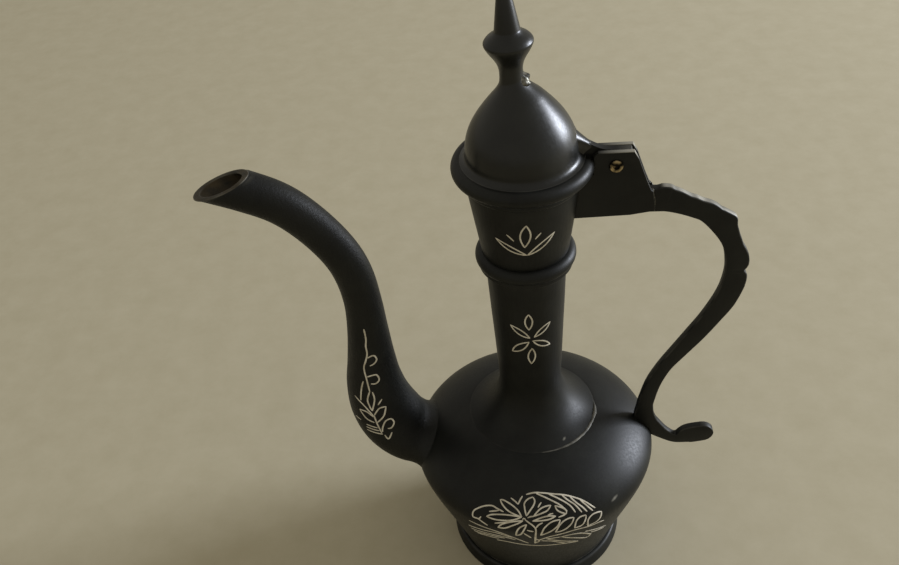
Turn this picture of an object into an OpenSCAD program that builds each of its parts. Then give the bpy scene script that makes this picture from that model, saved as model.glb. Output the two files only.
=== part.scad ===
// Surahi: a lidded ewer in blackened cast metal with silver wire inlay.
// The origin is the centre of the foot's lower face, +Z is up the axis,
// the spout points to -X and the handle to +X.

/* [Body] */
// Widest diameter of the belly
belly_d = 76; // [64:1:90]
// Height of the widest line above the ground
belly_h = 40.5; // [34:0.5:46]
// Diameter of the body where it stands on the foot ring
base_d = 52.6; // [44:0.2:58]
// Wall of the cast body
body_wall = 2.2; // [1.4:0.1:3]
// Diameter of the solder seam between the body and the neck's skirt
seam_d = 39.4; // [34:0.2:46]
// Height of the solder seam above the ground
seam_h = 55; // [51:0.5:60]

/* [Foot] */
// Diameter of the foot ring on the ground
foot_d = 56.6; // [48:0.2:66]
// Height of the foot ring
foot_h = 4.5; // [3:0.5:7]
// How far the foot ring draws in towards its top
foot_taper = 0.9; // [0.2:0.1:2]
// Width of the ring that touches the ground
foot_land = 5.5; // [3.5:0.5:8]
// Thickness of the plate that closes the bottom
base_plate_t = 1.8; // [1:0.1:3]

/* [Neck] */
// Outer diameter of the neck at its narrowest
waist_d = 19; // [16:0.2:24]
// Height of the narrowest place above the ground
waist_h = 72; // [68:1:80]
// Outer diameter of the neck under the collar
neck_top_d = 22.8; // [20:0.2:27]
// Height of the neck's top, where the collar sits
neck_h = 114.8; // [100:0.2:125]
// Wall of the neck and the cup above it
neck_wall = 1.8; // [1.2:0.1:2.4]
// Outer diameter of the collar's bead
collar_d = 28.2; // [26:0.2:33]
// Height of the collar's bead
bead_h = 4.6; // [3.6:0.2:5.4]
// Height of the thin ring under the bead
step_h = 0.8; // [0.4:0.1:1.4]
// Outer diameter of the thin ring under the bead
step_d = 26.4; // [24.4:0.2:28]

/* [Mouth] */
// Outer diameter of the cup just above the collar
cup_low_d = 24.4; // [22.4:0.2:27]
// Outer diameter of the cup under the mouth rim
cup_top_d = 30.6; // [28:0.2:33]
// Height of the cup above the collar
cup_h = 22; // [18:0.5:28]
// Outer diameter of the mouth rim
rim_d = 32.4; // [31:0.2:35]
// Height of the mouth rim
rim_h = 2.4; // [1.6:0.2:3.2]

/* [Spout] */
// Distance from the axis to the lip of the spout
spout_reach = 89.8; // [78:0.2:104]
// Height of the lip above the ground
spout_h = 142; // [128:1:152]
// Outer diameter of the spout's slim run
spout_d = 11.2; // [9.6:0.2:13]
// Outer diameter of the swell where the spout leaves the body
swell_d = 22; // [18:0.5:25]
// Wall of the spout
spout_wall = 1.5; // [1:0.1:2]
// Tilt of the cut that makes the mouth, from level
lip_tilt = 19.5; // [5:0.5:30]
// Diameter of the hole in the body behind the spout
spout_hole_d = 15; // [8:0.5:17]

/* [Handle] */
// Greatest distance from the axis to the middle of the strap
handle_reach = 57.9; // [48:0.1:68]
// Thickness of the strap
strap_t = 2.3; // [1.8:0.1:3.6]
// Width of the strap at the hinge bracket
strap_w = 7.6; // [6:0.1:9]
// Width of the strap above the body
strap_low_w = 4.8; // [4:0.1:6]
// Radius of the round end of the tail
tail_r = 3.6; // [2.6:0.1:5]

/* [Hinge] */
// Distance from the axis to the hinge pin
pin_x = 24; // [23:0.2:28]
// Height of the hinge pin above the mouth rim
pin_rise = 1.8; // [1:0.1:3]
// Diameter of the hinge pin
pin_d = 2.6; // [2:0.1:3.2]
// Diameter of the pin's peened ends
pin_head_d = 3.8; // [3.4:0.1:5]
// Thickness of each cheek
cheek_t = 1.4; // [1:0.1:2.2]
// Distance from the pin to the cheeks' outer edge, on the strap
cheek_reach = 10.4; // [8:0.2:13]
// Distance from the pin to the outer end of the cheeks' top edge
cheek_top_reach = 4.6; // [3:0.2:6]
// Distance from the pin to the cheeks' edge towards the lid
cheek_back = 5.8; // [4.4:0.1:6.2]
// Radius of the tongue's knuckle about the pin
knuckle_r = 4; // [3:0.1:5]
// Height of the tongue's root on the dome
tongue_h = 8; // [5:0.2:10]
// Side play of the tongue between the cheeks
tongue_play = 0.12; // [0.08:0.01:0.25]
// Radial play of the tongue on the pin
pin_play = 0.06; // [0.02:0.01:0.1]

/* [Lid] */
// Outer diameter of the lid's rolled rim
lid_d = 37.6; // [36:0.2:42]
// Thickness of the rolled rim
lid_rim_h = 4.4; // [3:0.2:5.6]
// Play between the closed lid and the mouth rim
lid_gap = 0.3; // [0.1:0.05:0.6]
// Outer diameter of the dome at its foot
dome_d = 29.4; // [27:0.2:31]
// How far the dome's foot spreads onto the rim
foot_flare = 1.7; // [0.6:0.1:2.2]
// Height of the dome
dome_h = 20.1; // [16:0.1:26]
// Wall of the dome
dome_wall = 1.8; // [1.2:0.1:2.4]
// Lean of the dome towards the spout, in degrees
dome_lean = 2.2; // [0:0.2:4]

/* [Finial] */
// Diameter of the finial's knob
knob_d = 12.4; // [9:0.2:15]
// Height of the finial above the dome
finial_h = 34; // [28:0.5:40]
// Diameter of the finial's stem
stem_d = 6; // [4.6:0.2:7.6]
// How far the finial was soldered off the dome's axis
finial_shift = 0.8; // [0:0.1:2]
// Lean of the finial on the dome, in degrees
finial_lean = 0.6; // [0:0.2:4]

/* [Hidden] */
$fn = 96;

// Finish colours
black = "#22231f";
brass = "#b08d4a";
solder = "#4a4a44";

// Solder film between round seats
film = 0.03;
// Overlap of a cutting shape past the face that it cuts
past = 1;
// Steps of a curve
steps = 16;

// Heights of the stacked pieces
collar_h = step_h + bead_h;
collar_top = neck_h + collar_h;
cup_top = collar_top + cup_h;
rim_top = cup_top + rim_h;
lid_low = rim_top + lid_gap;
dome_low = lid_low + lid_rim_h;
dome_top = dome_low + dome_h;

// Seats
seat_w = 3.5;
// Depth that a flat piece runs into a round one before it is cut to it
seat_in = 3;
spigot_step = 0.5;
spigot_r = neck_top_d / 2 - spigot_step;
spigot_h = collar_h / 2;
stem_flare = 1.2;
crown_r = stem_d / 2 + finial_shift + stem_flare;

// Hinge places
strap_drop = 8.3;
strap_z = cup_top - strap_drop;
strap_top = strap_z + strap_w / 2;
pin_z = rim_top + pin_rise;
cheek_y = strap_t / 2;
bracket_y = cheek_y + cheek_t;
knuckle_drop = 0.1;
cheek_top = pin_z + knuckle_r + knuckle_drop;
// Room around the cheeks for the swing of the lid
swing_gap = 0.4;

// Curve helpers

function bez(a, b, c, d, t) =
    pow(1 - t, 3) * a + 3 * t * pow(1 - t, 2) * b + 3 * t * t * (1 - t) * c + pow(t, 3) * d;
function curve(a, b, c, d) = [for (i = [0 : steps]) bez(a, b, c, d, i / steps)];
function back(path) = [for (i = [len(path) - 1 : -1 : 0]) path[i]];
function mix(a, b, t) = a + (b - a) * t;
function unit(v) = v / norm(v);
function knot(path, i) = path[max(0, min(len(path) - 1, i))];
// A smooth run through points; the numbers after a point's place run along too
function run(a, b, c, d, t) =
    0.5 * (2 * b + (c - a) * t + (2 * a - 5 * b + 4 * c - d) * t * t
    + (3 * b - a - 3 * c + d) * t * t * t);
function smooth(path, n) = [
    for (i = [0 : len(path) - 2])
        for (k = [0 : n - (i == len(path) - 2 ? 0 : 1)])
            run(knot(path, i - 1), path[i], path[i + 1], knot(path, i + 2), k / n)
];
function heading(path, i) =
    let (v = knot(path, i + 1) - knot(path, i - 1)) unit([v[0], v[1]]);
// Moves each point of an outline inwards, square to the outline
function inset(path, t) = [
    for (i = [0 : len(path) - 1])
        let (h = heading(path, i)) path[i] + t * [-h[1], h[0]]
];

// Outlines of the turned pieces

body_low = curve(
    [base_d / 2, foot_h],
    [base_d / 2 + (belly_d - base_d) * 0.2, foot_h + (belly_h - foot_h) * 0.42],
    [belly_d / 2, belly_h - 4],
    [belly_d / 2, belly_h]
);
body_high = curve(
    [belly_d / 2, belly_h],
    [belly_d / 2, belly_h + (seam_h - belly_h) * 0.4],
    [seam_d / 2 + (belly_d - seam_d) * 0.25, seam_h - 1.8],
    [seam_d / 2, seam_h]
);
body_outline = concat(body_low, [for (i = [1 : steps]) body_high[i]]);
tube_slope = (neck_top_d - waist_d) / 2 / (neck_h - waist_h);
skirt_outline = curve(
    [seam_d / 2, seam_h],
    [seam_d / 2 - (seam_d - waist_d) * 0.23, seam_h + 2],
    [waist_d / 2 - tube_slope * 10, waist_h - 10],
    [waist_d / 2, waist_h]
);
flare_h = foot_flare * 1.3;
dome_outline = curve(
    [dome_d / 2, dome_low + flare_h],
    [dome_d / 2, dome_low + dome_h * 0.42],
    [mix(crown_r, dome_d / 2, 0.67), dome_low + dome_h * 0.64],
    [crown_r, dome_top]
);
// The dome's outer line from just below the deck, where it is cut off level
dome_path = concat(
    [[dome_d / 2 + foot_flare, dome_low - past]],
    curve(
        [dome_d / 2 + foot_flare, dome_low],
        [dome_d / 2 + foot_flare * 0.4, dome_low + flare_h * 0.15],
        [dome_d / 2, dome_low + flare_h * 0.4],
        [dome_d / 2, dome_low + flare_h]
    ),
    [for (i = [1 : steps]) dome_outline[i]]
);

module turned(points) {
    rotate_extrude()
        polygon(points);
}

// The space inside an outline, down to the axis
module core(path, low, high) {
    turned(concat([[0, low]], path, [[0, high]]));
}

module body_mass() {
    core(body_outline, foot_h, seam_h);
}

module cup_mass() {
    core([[cup_low_d / 2, collar_top], [cup_top_d / 2, cup_top]], collar_top, cup_top);
}

module rim_mass() {
    translate([0, 0, cup_top])
        cylinder(r = rim_d / 2, h = rim_h);
}

// Flat pieces are drawn in X and Z, and stand centred on Y
module upright(t, y = 0) {
    translate([0, y + t / 2, 0])
        rotate([90, 0, 0])
            linear_extrude(t)
                children();
}

module pin_hole(play) {
    translate([pin_x, bracket_y + past, pin_z])
        rotate([90, 0, 0])
            cylinder(d = pin_d + 2 * play, h = 2 * (bracket_y + past));
}

// Foot and body

module foot_ring() {
    r = foot_d / 2;
    color(black)
        turned([
            [r - foot_land, 0],
            [r - 0.4, 0],
            [r, 0.4],
            [r - foot_taper, foot_h],
            [r - foot_land, foot_h]
        ]);
}

module base_plate() {
    color(black)
        translate([0, 0, foot_h])
            cylinder(r = base_d / 2 - body_wall - film, h = base_plate_t);
}

module body() {
    inner = inset(body_outline, body_wall);
    bore_low = [base_d / 2 - body_wall, foot_h];
    wall_low = [base_d / 2 - body_wall, foot_h + base_plate_t];
    lip = [seam_d / 2 - seat_w, inner[2 * steps][1]];
    lip_top = [seam_d / 2 - seat_w, seam_h];
    kept = [for (p = inner) if (p[1] > foot_h + base_plate_t + 1) p];
    color(black)
        difference() {
            turned(concat(body_outline, [lip_top, lip], back(kept), [wall_low, bore_low]));
            translate([-belly_d / 2 - past, 0, spout_root_z])
                rotate([0, 90, 0])
                    cylinder(d = spout_hole_d, h = belly_d / 2);
        }
}

// Neck, collar, cup and mouth rim

module neck() {
    top_r = neck_top_d / 2;
    bore = skirt_outline - [for (i = [0 : steps]) [mix(seat_w, neck_wall, i / steps), 0]];
    color(black)
        turned(concat(
            skirt_outline,
            [
                [top_r, neck_h],
                [spigot_r - film, neck_h],
                [spigot_r - film, neck_h + spigot_h],
                [top_r - neck_wall, neck_h + spigot_h]
            ],
            back(bore)
        ));
}

module collar() {
    bead_r = bead_h / 2;
    color(black)
        rotate_extrude()
            difference() {
                union() {
                    translate([collar_d / 2 - bead_r, neck_h + step_h + bead_r])
                        circle(r = bead_r);
                    translate([0, neck_h])
                        square([step_d / 2, step_h + bead_r / 3]);
                    translate([0, neck_h + step_h])
                        square([collar_d / 2 - bead_r, bead_h]);
                }
                translate([0, neck_h - past])
                    square([spigot_r, collar_h + 2 * past]);
            }
}

module cup() {
    low_bore = neck_top_d / 2 - neck_wall;
    color(black)
        turned([
            [low_bore, neck_h + spigot_h],
            [spigot_r - film, neck_h + spigot_h],
            [spigot_r - film, collar_top],
            [cup_low_d / 2, collar_top],
            [cup_top_d / 2, cup_top],
            [cup_top_d / 2 - neck_wall, cup_top]
        ]);
}

module mouth_rim() {
    edge = rim_h / 2;
    bore = cup_top_d / 2 - neck_wall;
    color(black)
        rotate_extrude() {
            translate([rim_d / 2 - edge, cup_top + edge])
                circle(r = edge);
            translate([bore, cup_top])
                square([rim_d / 2 - edge - bore, rim_h]);
        }
}

// Spout: a round tube swept along a smooth run, swelling towards the body

spout_root_z = belly_h + 4.5;
swell_x = -belly_d / 2 - 7;
slim_x = -belly_d / 2 - 10.2;
lip = [-spout_reach, spout_h];
// Each point is X, Z and radius
spout_run = [
    [-belly_d / 2 + 9, spout_root_z - 2, swell_d * 0.44],
    [-belly_d / 2, spout_root_z + 0.5, swell_d * 0.5],
    [swell_x + 1, spout_root_z + 6, swell_d * 0.5],
    [slim_x + 0.7, spout_root_z + 14, swell_d * 0.465],
    [slim_x - 0.6, mix(spout_root_z, spout_h, 0.24), swell_d * 0.405],
    [slim_x - 0.4, mix(spout_root_z, spout_h, 0.34), swell_d * 0.34],
    [slim_x, mix(spout_root_z, spout_h, 0.46), spout_d * 0.56],
    [slim_x, mix(spout_root_z, spout_h, 0.58), spout_d / 2],
    [slim_x - 1.3, mix(spout_root_z, spout_h, 0.69), spout_d / 2],
    [slim_x - 4.4, mix(spout_root_z, spout_h, 0.78), spout_d / 2],
    [mix(slim_x, lip[0], 0.25), mix(spout_root_z, spout_h, 0.875), spout_d * 0.505],
    [mix(slim_x, lip[0], 0.43), spout_h - 4.5, spout_d * 0.515],
    [mix(slim_x, lip[0], 0.66), spout_h + 0.6, spout_d * 0.52],
    [lip[0] - 1, spout_h + 6.6, spout_d * 0.52],
    [lip[0] - 14, spout_h + 12.5, spout_d * 0.52]
];
spout_sides = 24;
spout_rings = smooth(spout_run, 3);

module sweep(rings, shrink) {
    n = spout_sides;
    points = [
        for (i = [0 : len(rings) - 1])
            let (h = heading(rings, i), r = rings[i][2] - shrink)
            for (k = [0 : n - 1])
                let (a = 360 * k / n)
                [
                    rings[i][0] - h[1] * r * cos(a),
                    r * sin(a),
                    rings[i][1] + h[0] * r * cos(a)
                ]
    ];
    last = (len(rings) - 1) * n;
    polyhedron(
        points,
        concat(
            [[for (k = [n - 1 : -1 : 0]) k]],
            [for (i = [0 : len(rings) - 2], k = [0 : n - 1])
                [i * n + k, i * n + (k + 1) % n, (i + 1) * n + k]],
            [for (i = [0 : len(rings) - 2], k = [0 : n - 1])
                [i * n + (k + 1) % n, (i + 1) * n + (k + 1) % n, (i + 1) * n + k]],
            [[for (k = [0 : n - 1]) last + k]]
        )
    );
}

module spout() {
    color(black)
        difference() {
            sweep(spout_rings, 0);
            sweep(spout_rings, spout_wall);
            core(body_outline + [for (p = body_outline) [film, 0]], foot_h, seam_h);
            translate([lip[0], 0, lip[1]])
                rotate([0, -lip_tilt, 0])
                    translate([-spout_reach / 2, -spout_d, 0])
                        cube([spout_reach, 2 * spout_d, spout_d * 4]);
        }
}

// Handle: a flat strap that leaves the hinge bracket, turns down in a long S and ends in a tail

strap_foot = [belly_d / 2 - 2.1, belly_h + 17, 0];
// Each point is a share of the reach, a share of the height and a share of the width
strap_shares = [
    [0.43, 0.954, 0.76],
    [0.64, 0.918, 0.79],
    [0.895, 0.809, 0.71],
    [0.985, 0.705, 0.74],
    [0.975, 0.615, 0.77],
    [0.915, 0.53, 0.87],
    [0.745, 0.431, 0.78],
    [0.577, 0.349, 0.74],
    [0.395, 0.267, 0.65]
];
// Each point is X, Z and width, from the cup to the end of the tail
strap_run = concat(
    [
        [cup_low_d / 2 - seat_in, strap_z, strap_w],
        [pin_x, strap_z, strap_w],
        [pin_x + cheek_reach, strap_z, strap_w],
        [pin_x + cheek_reach * 1.45, strap_z - strap_w * 0.08, strap_w * 0.95]
    ],
    [for (s = strap_shares) [
        mix(strap_foot[0], handle_reach, s[0]), mix(strap_foot[1], strap_z, s[1]), strap_w * s[2]
    ]],
    [
        strap_foot + [4.6, 13.8, strap_low_w * 0.9],
        strap_foot + [1.7, 7, strap_low_w * 0.95],
        strap_foot + [0, 0, strap_low_w],
        strap_foot + [-0.5, -3.7, strap_low_w * 1.08],
        strap_foot + [-0.3, -9.3, strap_low_w * 1.4],
        strap_foot + [2.3, -13, strap_low_w * 1.22],
        strap_foot + [6.4, -16.8, strap_low_w * 0.84],
        strap_foot + [9.8, -18.5, strap_low_w * 0.8],
        strap_foot + [13.7, -17.2, tail_r * 1.94],
        strap_foot + [17.9, -16.3, tail_r * 2]
    ]
);
strap_steps = 8;
strap_line = smooth(strap_run, strap_steps);
// Flats and lobes filed into the outer edge: place along the run and height
edge_rise = [
    [0, 0], [2.1, 0], [2.3, 0.45], [2.75, 0.5], [2.95, 0.1], [3.6, 0], [3.8, 0.35], [5, 0.3],
    [5.2, 1], [5.42, 1.95], [5.5, 1.75], [5.65, 0.8], [5.95, 0.1], [6.3, 0], [6.45, 0.4],
    [6.85, 0.9], [7.25, 0.6], [7.38, 0], [7.45, 0], [7.6, 0.7], [7.95, 1], [8.3, 0.65], [8.7, 0]
];
function strap_edge(side) = [
    for (i = [0 : len(strap_line) - 1])
        let (
            h = heading(strap_line, i),
            rise = side > 0 ? lookup(i / strap_steps, edge_rise) : 0,
            w = side * (strap_line[i][2] / 2 + rise)
        )
        [strap_line[i][0] - h[1] * w, strap_line[i][1] + h[0] * w]
];
tail_last = strap_line[len(strap_line) - 1];
tail_way = heading(strap_line, len(strap_line) - 1);
tail_turn = atan2(tail_way[1], tail_way[0]);
tail_end = [
    for (k = [1 : steps - 1])
        let (a = tail_turn + 90 - 180 * k / steps)
        [tail_last[0] + tail_r * cos(a), tail_last[1] + tail_r * sin(a)]
];

module strap_face() {
    polygon(concat(strap_edge(1), tail_end, back(strap_edge(-1))));
}

module handle() {
    color(black)
        difference() {
            upright(strap_t)
                strap_face();
            body_mass();
            cup_mass();
        }
}

// Hinge bracket: a cheek soldered on each side of the strap carries the pin

module cheek_face() {
    root_x = cup_low_d / 2 - seat_in;
    lift = 0.6;
    shoulder = 3.8;
    corner = 1.2;
    left = pin_x - cheek_back;
    low = strap_z - strap_w / 2 + lift;
    out = pin_x + cheek_reach;
    polygon([
        [root_x, low - lift],
        [out, low],
        [out, low + strap_w / 3],
        [out - lift, strap_top],
        [out - corner, strap_top + lift],
        [out - 2 * corner, strap_top + shoulder],
        [pin_x + cheek_top_reach + corner, cheek_top - 2 * corner],
        [pin_x + cheek_top_reach, cheek_top],
        [left + corner, cheek_top],
        [left, cheek_top - corner],
        [left, rim_top - lift],
        [root_x, rim_top - lift]
    ]);
}

module cheek(side) {
    color(black)
        difference() {
            upright(cheek_t, side * (cheek_y + cheek_t / 2))
                cheek_face();
            cup_mass();
            rim_mass();
            pin_hole(film);
        }
}

module hinge_cheek_front() {
    cheek(-1);
}

module hinge_cheek_back() {
    cheek(1);
}

module hinge_pin() {
    head_t = 0.5;
    dimple_d = pin_d * 0.55;
    color(brass)
        translate([pin_x, 0, pin_z])
            rotate([90, 0, 0])
                difference() {
                    union() {
                        cylinder(d = pin_d, h = 2 * bracket_y, center = true);
                        for (side = [-1, 1])
                            translate([0, 0, side * (bracket_y + head_t / 2)])
                                cylinder(d = pin_head_d, h = head_t, center = true);
                    }
                    for (side = [-1, 1])
                        translate([0, 0, side * (bracket_y + head_t)])
                            cylinder(d = dimple_d, h = head_t, center = true);
                }
}

// Lid

// The rim is relieved where it swings past the cheeks
notch_x = dome_d / 2 + swing_gap / 2;
notch_y = bracket_y + swing_gap;

module lid_rim() {
    roll = lid_rim_h / 2;
    bore = dome_d / 2 - dome_wall - 1.2;
    color(black)
        difference() {
            rotate_extrude() {
                translate([lid_d / 2 - roll, lid_low + roll])
                    circle(r = roll);
                translate([bore, lid_low])
                    square([lid_d / 2 - roll - bore, lid_rim_h]);
            }
            translate([notch_x, -notch_y, lid_low - past])
                cube([lid_d, 2 * notch_y, lid_rim_h + 2 * past]);
        }
}

// The dome stands on the rim's deck with a slight lean
module dome_place() {
    translate([0, 0, dome_low])
        rotate([0, -dome_lean, 0])
            translate([0, 0, -dome_low])
                children();
}

module above_deck() {
    intersection() {
        children();
        translate([-belly_d / 2, -belly_d / 2, dome_low])
            cube([belly_d, belly_d, dome_h + finial_h + past]);
    }
}

module lid_dome() {
    inner = dome_outline - [for (i = [0 : steps]) [dome_wall, dome_wall * i / steps]];
    color(black)
        above_deck()
            dome_place()
                turned(concat(
                    dome_path,
                    [[0, dome_top], [0, inner[steps][1]]],
                    back(inner),
                    [[dome_d / 2 - dome_wall, dome_low - past]]
                ));
}

module lid_tongue() {
    t = strap_t - 2 * tongue_play;
    root = dome_d / 2 - seat_in;
    root_low = dome_low + swing_gap / 4;
    arm_top = pin_z + knuckle_r;
    end_x = pin_x + cheek_top_reach - swing_gap;
    web_low = rim_top + 2 * lid_gap;
    sweep_up = curve(
        [pin_x, arm_top],
        [pin_x - knuckle_r * 0.85, arm_top],
        [mix(root, pin_x, 0.5), arm_top + knuckle_r * 0.3],
        [root, root_low + tongue_h]
    );
    color(black)
        difference() {
            upright(t) {
                translate([pin_x, pin_z])
                    circle(r = knuckle_r);
                polygon(concat(
                    [[end_x, pin_z], [end_x, arm_top]],
                    sweep_up,
                    [
                        [root, root_low],
                        [notch_x + swing_gap, root_low],
                        [notch_x + swing_gap, web_low + swing_gap],
                        [notch_x + 3 * swing_gap, web_low],
                        [pin_x, web_low]
                    ]
                ));
            }
            dome_place()
                core(dome_path, dome_low - past, dome_top);
            pin_hole(pin_play);
        }
}

// Finial: stem, knob and spire, turned in one piece and soldered on a little off the axis

knob_h = finial_h * 0.3625;
spire_h = finial_h * 0.461;
spire_r = stem_d * 0.545;
tip_r = 0.5;
stem_h = finial_h * 0.1365;
finial_outline = concat(
    [[0, -past], [stem_d / 2 + stem_flare, -past]],
    curve(
        [stem_d / 2 + stem_flare, 0],
        [stem_d / 2 + stem_flare * 0.35, stem_h * 0.2],
        [stem_d / 2, stem_h * 0.5],
        [stem_d / 2, stem_h]
    ),
    curve(
        [stem_d / 2, stem_h + 0.6],
        [stem_d / 2 + 0.3, mix(stem_h, knob_h, 0.5)],
        [knob_d / 2 - 1.2, mix(stem_h, knob_h, 0.62)],
        [knob_d / 2, knob_h]
    ),
    curve(
        [knob_d / 2, knob_h + 0.5],
        [knob_d / 2 - 0.8, knob_h + 2],
        [spire_r + 1, mix(knob_h, spire_h, 0.6)],
        [spire_r, spire_h]
    ),
    [[tip_r, finial_h - tip_r], [tip_r * 0.6, finial_h - tip_r * 0.25], [0, finial_h]]
);

module finial_place() {
    translate([-finial_shift, 0, dome_top])
        rotate([0, -finial_lean, 0])
            children();
}

module finial() {
    color(black)
        dome_place()
            intersection() {
                finial_place()
                    turned(finial_outline);
                translate([-belly_d / 2, -belly_d / 2, dome_top])
                    cube([belly_d, belly_d, finial_h * 2]);
            }
}

module finial_solder() {
    bead_r = 2;
    base_r = stem_d / 2;
    spread = 130;
    color(solder)
        dome_place()
            difference() {
                translate([-finial_shift, 0, dome_top])
                    rotate([0, 0, -spread / 2])
                        rotate_extrude(angle = spread)
                            intersection() {
                                translate([base_r, 0])
                                    circle(r = bead_r);
                                translate([base_r - bead_r / 2, 0])
                                    square([2 * bead_r, bead_r]);
                            }
                finial_place()
                    turned([for (p = finial_outline) p + [p[0] > 0 ? film : 0, 0]]);
            }
}

foot_ring();
base_plate();
body();
neck();
collar();
cup();
mouth_rim();
spout();
handle();
hinge_cheek_front();
hinge_cheek_back();
hinge_pin();
lid_rim();
lid_dome();
lid_tongue();
finial();
finial_solder();
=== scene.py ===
# %% [markdown]
# # A surahi: a lidded ewer in blackened metal, inlaid with silver wire
# The ewer is cast in a zinc alloy, filed smooth, inlaid with thin silver wire and stained black.
# Its solids come from the CAD model, packed in the frame, and the main lengths here are theirs.
# Blender adds what the solids leave out: soft corners, hand-made unevenness, solder, wire and finish.

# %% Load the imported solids
import math

import bmesh
import bpy
import numpy as np
from mathutils import Matrix, Vector, noise


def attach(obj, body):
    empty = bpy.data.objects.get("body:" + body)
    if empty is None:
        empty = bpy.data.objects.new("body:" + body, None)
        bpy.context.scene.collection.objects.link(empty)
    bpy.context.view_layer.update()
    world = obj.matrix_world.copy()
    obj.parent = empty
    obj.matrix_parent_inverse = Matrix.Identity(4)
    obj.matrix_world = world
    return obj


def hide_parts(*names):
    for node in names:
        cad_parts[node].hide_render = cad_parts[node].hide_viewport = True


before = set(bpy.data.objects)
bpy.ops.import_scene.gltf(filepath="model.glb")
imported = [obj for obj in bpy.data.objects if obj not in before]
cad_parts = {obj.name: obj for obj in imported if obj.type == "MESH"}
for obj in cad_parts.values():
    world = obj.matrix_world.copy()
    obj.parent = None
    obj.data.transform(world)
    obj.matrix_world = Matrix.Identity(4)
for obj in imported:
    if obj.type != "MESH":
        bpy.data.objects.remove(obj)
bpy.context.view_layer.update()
scene = bpy.context.scene
scene.view_settings.view_transform = "Standard"
MM = 0.001
print("solids:", ", ".join(sorted(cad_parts)))

# %% [markdown]
# ## The camera
# The photograph was taken from above and in front, with the camera turned a little on its axis.
# A camera can be placed by eye, but the rims of turned pieces are circles, and where they appear
# as ellipses they give its height, tilt and roll. Those numbers are used here.

# %% Camera
PHOTO_W, PHOTO_H = 899, 565
FOCAL_PX = 1000
CENTRE_PX = (415.53, 262.90)
CAMERA_AT = (0, -0.220093, 0.292370)
SENSOR = 36
yaw, pitch, roll = -0.1408, 0.6734, -0.1273
ahead = Vector((math.sin(yaw) * math.cos(pitch), math.cos(yaw) * math.cos(pitch), -math.sin(pitch)))
level = Vector((math.cos(yaw), -math.sin(yaw), 0))
over = level.cross(ahead)
right = math.cos(roll) * level + math.sin(roll) * over
upward = -math.sin(roll) * level + math.cos(roll) * over

lens = bpy.data.cameras.new("photo_camera")
lens.sensor_width = SENSOR
lens.lens = FOCAL_PX * SENSOR / PHOTO_W
lens.shift_x = (PHOTO_W / 2 - CENTRE_PX[0]) / PHOTO_W
lens.shift_y = (CENTRE_PX[1] - PHOTO_H / 2) / PHOTO_W
lens.clip_start = 0.01
camera = bpy.data.objects.new("photo_camera", lens)
turn = Matrix((right, upward, -ahead)).transposed().to_4x4()
camera.matrix_world = Matrix.Translation(CAMERA_AT) @ turn
scene.collection.objects.link(camera)
scene.camera = camera
print(f"camera: lens {lens.lens:.1f} mm, looking down {math.degrees(pitch):.0f} degrees")

# %% [markdown]
# ## Colours and nodes
# Colours are written as sRGB hex codes, as a colour picker shows them. Shaders work in linear light,
# so one function converts them. Another adds a shader node with its settings and links in one line,
# which keeps a material readable. Pattern sizes are written in millimetres.

# %% Helpers for materials
def linear(code):
    """An sRGB hex code as a linear colour."""
    parts = [int(code[i:i + 2], 16) / 255 for i in (0, 2, 4)]
    return [c / 12.92 if c <= 0.04045 else ((c + 0.055) / 1.055) ** 2.4 for c in parts] + [1]


def plug(tree, node, inputs):
    """Fills a node's inputs. Each takes a value, or a socket to link from."""
    for key, value in inputs.items():
        if isinstance(value, bpy.types.NodeSocket):
            tree.links.new(value, node.inputs[key])
        else:
            node.inputs[key].default_value = value


def add(tree, kind, inputs={}, **settings):
    """Adds a node with its settings and inputs."""
    made = tree.nodes.new("ShaderNode" + kind)
    for key, value in settings.items():
        setattr(made, key, value)
    plug(tree, made, inputs)
    return made


def new_finish(name):
    """A new material, its node tree, its shader, and the socket that gives a place on the piece."""
    made = bpy.data.materials.new(name)
    made.use_nodes = True
    tree = made.node_tree
    print("material:", name)
    return made, tree, tree.nodes["Principled BSDF"], add(tree, "TexCoord").outputs["Object"]


def per_mm(size):
    """The texture scale at which a pattern's features are so many millimetres wide."""
    return 1 / (size * MM)


MIX_A, MIX_B, MIX_OUT = 6, 7, 2
STAIN = "0a0b09"
print("black stain in linear light:", [round(c, 4) for c in linear(STAIN)])
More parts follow.
